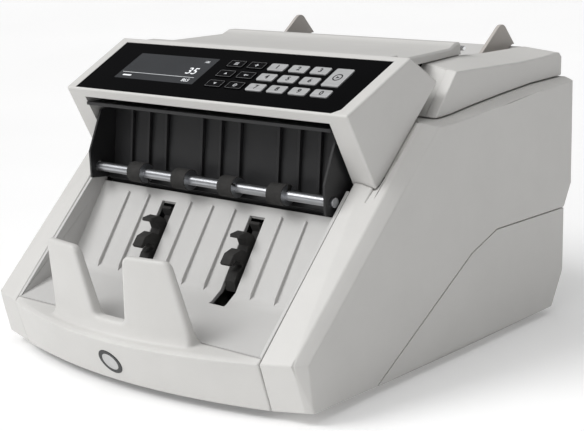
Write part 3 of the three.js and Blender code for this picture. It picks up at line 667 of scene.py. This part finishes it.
def badge():
    """A turned disc that stands on the front faces of the CAD badge."""
    front_faces = [f for f in frame["nodes"]["front_badge"].data.polygons if f.normal.y < -0.7]
    area = sum(f.area for f in front_faces)
    centre = sum((f.center * f.area for f in front_faces), Vector()) / area / MM
    axis = sum((f.normal * f.area for f in front_faces), Vector()).normalized()
    across = Vector((1, 0, 0))
    upward = across.cross(axis)
    steps = 48
    turns = [2 * math.pi * k / steps for k in range(steps)]
    rings = [[centre + axis * h + (across * math.cos(t) + upward * math.sin(t)) * radius for t in turns]
             for radius, h in BADGE_PROFILE]
    obj = from_rings("front_badge_finish", rings)
    paint(obj, BADGE_DARK, BADGE_LIGHT)
    for face in obj.data.polygons:
        face.material_index = 1 if (face.center / MM - centre).length < BADGE_DISC else 0
    smooth(obj)
    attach(obj, "chassis")
    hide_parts("front_badge")


# ---------------------------------------------------------------- control panel
OUTLINE_OUTER = 0.3            # how far inside a key's edge the silver outline starts and ends
OUTLINE_INNER = 0.58


def key_face(name):
    """A key's left, lower, right and upper edge on the panel."""
    if name == "key_start":
        column, row = 5, 1
        height = ROWS[2] + KEY_H - ROWS[1]
    else:
        column, row = {**DIGIT_KEYS, **FUNCTION_KEYS}[name]
        height = KEY_H
    x0, v0 = COLUMNS[column], ROWS[row]
    return x0, v0, x0 + KEY_W, v0 + height


def key_centre(name):
    x0, v0, x1, v1 = key_face(name)
    return (x0 + x1) / 2, (v0 + v1) / 2


def inset(box, distance):
    """A rectangle made smaller all round."""
    x0, v0, x1, v1 = box
    return x0 + distance, v0 + distance, x1 - distance, v1 - distance


def place_mark(obj, key, material):
    """Puts a finished mark on its key."""
    paint(obj, material)
    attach(obj, key)


def triangle(x, v, size, up):
    """The outline of a triangle that points up or down."""
    tip = size if up else -size
    return [(x - size, v - tip * 0.6), (x + size, v - tip * 0.6), (x, v + tip * 0.8)]


def bar(x, v, half_x, half_v):
    """The outline of a bar with round ends."""
    return rounded(x - half_x, v - half_v, x + half_x, v + half_v, min(half_x, half_v) * 0.8, 2)


def mark_slab(outline, extra=0.0):
    """One part of a key's mark, raised by extra where it crosses another part."""
    return slab("mark", outline, MARK_FOOT, MARK_TOP + extra)


def function_marks(name):
    """The parts of the generic mark on one function key."""
    x, v = key_centre(name)
    if name in ("key_up", "key_down"):
        return [mark_slab(triangle(x, v, 1.25, name == "key_up"))]
    if name == "key_add":
        return [mark_slab(bar(x, v, 1.4, 0.3)), mark_slab(bar(x, v, 0.3, 1.4), extra=0.01)]
    if name == "key_menu":
        return [mark_slab(bar(x, v + d, 1.7, 0.22)) for d in (-1.0, 0.0, 1.0)]
    if name == "key_escape":
        point = [(x - 1.8, v), (x - 0.6, v - 1.1), (x - 0.6, v + 1.1)]
        return [mark_slab(point), mark_slab(bar(x + 0.6, v, 1.2, 0.26))]
    ring = ring_slab("mark", circle(x, v, 1.45), circle(x, v, 1.05), MARK_FOOT, MARK_TOP)
    return [ring, mark_slab(bar(x, v, 0.65, 0.22))]


def key_body(name, material):
    """The moving key itself, with its edges rounded."""
    refine(name, name, material, 0.22, segments=2, angle=30.0)


def digit_key(name):
    """A silver key with its digit."""
    key_body(name, SILVER_KEY)
    x, v = key_centre(name)
    digit = written(name + "_digit", name[-1], x, v, 5.2, bold=0.13)
    place_mark(digit, name, INK)


def function_key(name):
    """A black key with a silver outline and a generic mark."""
    key_body(name, BLACK_KEY)
    outer = rounded(*inset(key_face(name), OUTLINE_OUTER), 0.8)
    inner = rounded(*inset(key_face(name), OUTLINE_INNER), 0.55)
    outline = ring_slab(name + "_outline", outer, inner, MARK_FOOT, MARK_TOP)
    place_mark(outline, name, OUTLINE)
    mark = join(name + "_mark", function_marks(name))
    place_mark(mark, name, PALE_INK)


def start_key():
    """The tall silver key, with an arrow in a ring."""
    key_body("key_start", SILVER_KEY)
    x, v = key_centre("key_start")
    ring = ring_slab("key_start_ring", circle(x, v, 3.3), circle(x, v, 2.55), MARK_FOOT, MARK_TOP)
    arrow = mark_slab([(x - 0.8, v - 1.1), (x + 1.3, v), (x - 0.8, v + 1.1)])
    place_mark(join("key_start_mark", [ring, arrow]), "key_start", INK)


def keys():
    for name in DIGIT_KEYS:
        digit_key(name)
    for name in FUNCTION_KEYS:
        function_key(name)
    start_key()


def display():
    """The lit window at the left of the gloss panel, with generic figures."""
    x0, v0, x1, v1 = SCREEN
    glass = slab("display_window", rounded(x0, v0, x1, v1, 0.6), PANEL_FACE - 0.02, PANEL_FACE + 0.05)
    paint(glass, LCD)
    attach(glass, "chassis")
    foot = PANEL_FACE + 0.04
    top = foot + 0.04
    parts = [
        written("count", "35", -27.5, 29.0, 9.5, foot=foot, bold=0.05),
        written("total", "865", -25.0, 19.2, 4.4, foot=foot),
        written("batch", "100", -23.5, 39.8, 2.8, foot=foot),
        slab("rule", bar((x0 + x1) / 2 - 1.0, v0 + 6.9, (x1 - x0) / 2 - 3.0, 0.14), foot, top),
        slab("field", bar(x0 + 9.0, v0 + 3.6, 4.0, 0.7), foot, top),
    ]
    lit = join("display_figures", parts)
    paint(lit, LCD_LIGHT)
    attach(lit, "chassis")


# ---------------------------------------------------------------- mechanism
# Each roller shaft's body, and the y and z of its axis.
SHAFTS = {
    "feed_roller_shaft": ("feed_rollers", 66.0, 131.0),
    "pickup_roller_shaft": ("pickup_rollers", 104.0, 141.5),
    "exit_roller_shaft": ("exit_rollers", -55.0, 109.0),
}
STEEL_WITHIN = 4.0             # faces this close to the axis are the steel shaft, the others are rubber


def roller_shafts():
    """Steel shafts with rubber rollers, told apart by how far from the axis they are."""
    for node, (body, y, z) in SHAFTS.items():
        obj = refine(node, body, RUBBER, 0.35, segments=2, angle=50.0)
        obj.data.materials.append(STEEL)
        for face in obj.data.polygons:
            centre = face.center / MM
            if math.hypot(centre.y - y, centre.z - z) < STEEL_WITHIN:
                face.material_index = 1


def mechanism():
    """The rollers, wheels and dark parts that show in the openings."""
    roller_shafts()
    for side in ("left", "right"):
        refine("stacker_wheel_" + side, "stacker_rotor", RUBBER, 0.4, segments=2, angle=30.0)
    for node in ("transport_cover", "head_undertray", "power_inlet"):
        refine(node, "chassis", BLACK, 0.3, segments=2, angle=20.0)
    refine("gap_thumbwheel", "gap_thumbwheel", BLACK, 0.25, segments=2, angle=30.0)
    refine("power_rocker", "power_rocker", BLACK, 0.2, segments=2, angle=30.0)


# ---------------------------------------------------------------- carried-over nodes
def dress_frame():
    """Every CAD node that stays gets the finish of its slot."""
    for node, obj in frame["nodes"].items():
        paint(obj, SLOT_MATERIALS[slot_of(node)])


# ---------------------------------------------------------------- stage, light and camera
FLOOR_SIZE = 8.0
SKY = 0.17                     # brightness of the even light from all round
# Each soft box: its name, where it shines from, how wide it is in degrees, and its strength.
SOFT_BOXES = (
    ("key", (-0.45, -0.55, 0.75), 30.0, 1.68),
    ("front", (0.1, -0.9, 0.42), 45.0, 0.6),
    ("top", (0.0, 0.0, 1.0), 70.0, 1.0),
)
CAMERA_PLACE = (0.6282, -0.6677, 0.2956)
CAMERA_YAW, CAMERA_PITCH, CAMERA_ROLL = 42.41, 13.43, -2.39        # in degrees, pitch downwards
CAMERA_LENS, CAMERA_SENSOR = 90.95, 36.0


def stage():
    """A plain white floor that gives off a little light, like a lit sheet of paper."""
    bpy.ops.mesh.primitive_plane_add(size=FLOOR_SIZE)
    floor = bpy.context.object
    floor.name = "floor"
    n = Nodes("floor_paper")
    n.set("Base Color", n.ramp(n.noise(3.0), [(0.3, (0.90, 0.90, 0.90)), (0.7, (0.93, 0.93, 0.93))]))
    n.set("Roughness", 0.7)
    n.set("Emission Color", (1.0, 1.0, 1.0, 1.0))
    n.set("Emission Strength", 0.14)
    paint(floor, n.material)


def soft_sun(name, source, width, strength):
    """A distant soft box that shines from source to the middle, width degrees across."""
    data = bpy.data.lights.new(name, "SUN")
    data.angle = math.radians(width)
    data.energy = strength
    lamp = bpy.data.objects.new(name, data)
    bpy.context.scene.collection.objects.link(lamp)
    lamp.rotation_euler = Vector(source).to_track_quat("Z", "Y").to_euler()


def lights():
    """Even light from all round and three soft boxes."""
    world = bpy.data.worlds.new("studio")
    bpy.context.scene.world = world
    world.use_nodes = True
    background = world.node_tree.nodes["Background"]
    background.inputs["Color"].default_value = (1.0, 1.0, 1.0, 1.0)
    background.inputs["Strength"].default_value = SKY
    for name, source, width, strength in SOFT_BOXES:
        soft_sun(name, source, width, strength)
    bpy.context.scene.view_settings.view_transform = "Standard"


def camera():
    """A long lens from the machine's right front, a little above it."""
    yaw, pitch, roll = (math.radians(a) for a in (CAMERA_YAW, CAMERA_PITCH, CAMERA_ROLL))
    forward = Vector((-math.sin(yaw) * math.cos(pitch), math.cos(yaw) * math.cos(pitch), -math.sin(pitch)))
    right = Vector((math.cos(yaw), math.sin(yaw), 0.0))
    up = right.cross(forward)
    turned_right = math.cos(roll) * right + math.sin(roll) * up
    turned_up = -math.sin(roll) * right + math.cos(roll) * up
    data = bpy.data.cameras.new("camera")
    data.sensor_width = CAMERA_SENSOR
    data.lens = CAMERA_LENS
    obj = bpy.data.objects.new("camera", data)
    bpy.context.scene.collection.objects.link(obj)
    axes = Matrix((turned_right, turned_up, -forward)).transposed().to_4x4()
    obj.matrix_world = Matrix.Translation(CAMERA_PLACE) @ axes
    bpy.context.scene.camera = obj


camera()
stage()
lights()
dress_frame()
side_covers()
control_head()
top_cover()
hopper()
base_and_door()
front()
badge()
display()
keys()
mechanism()
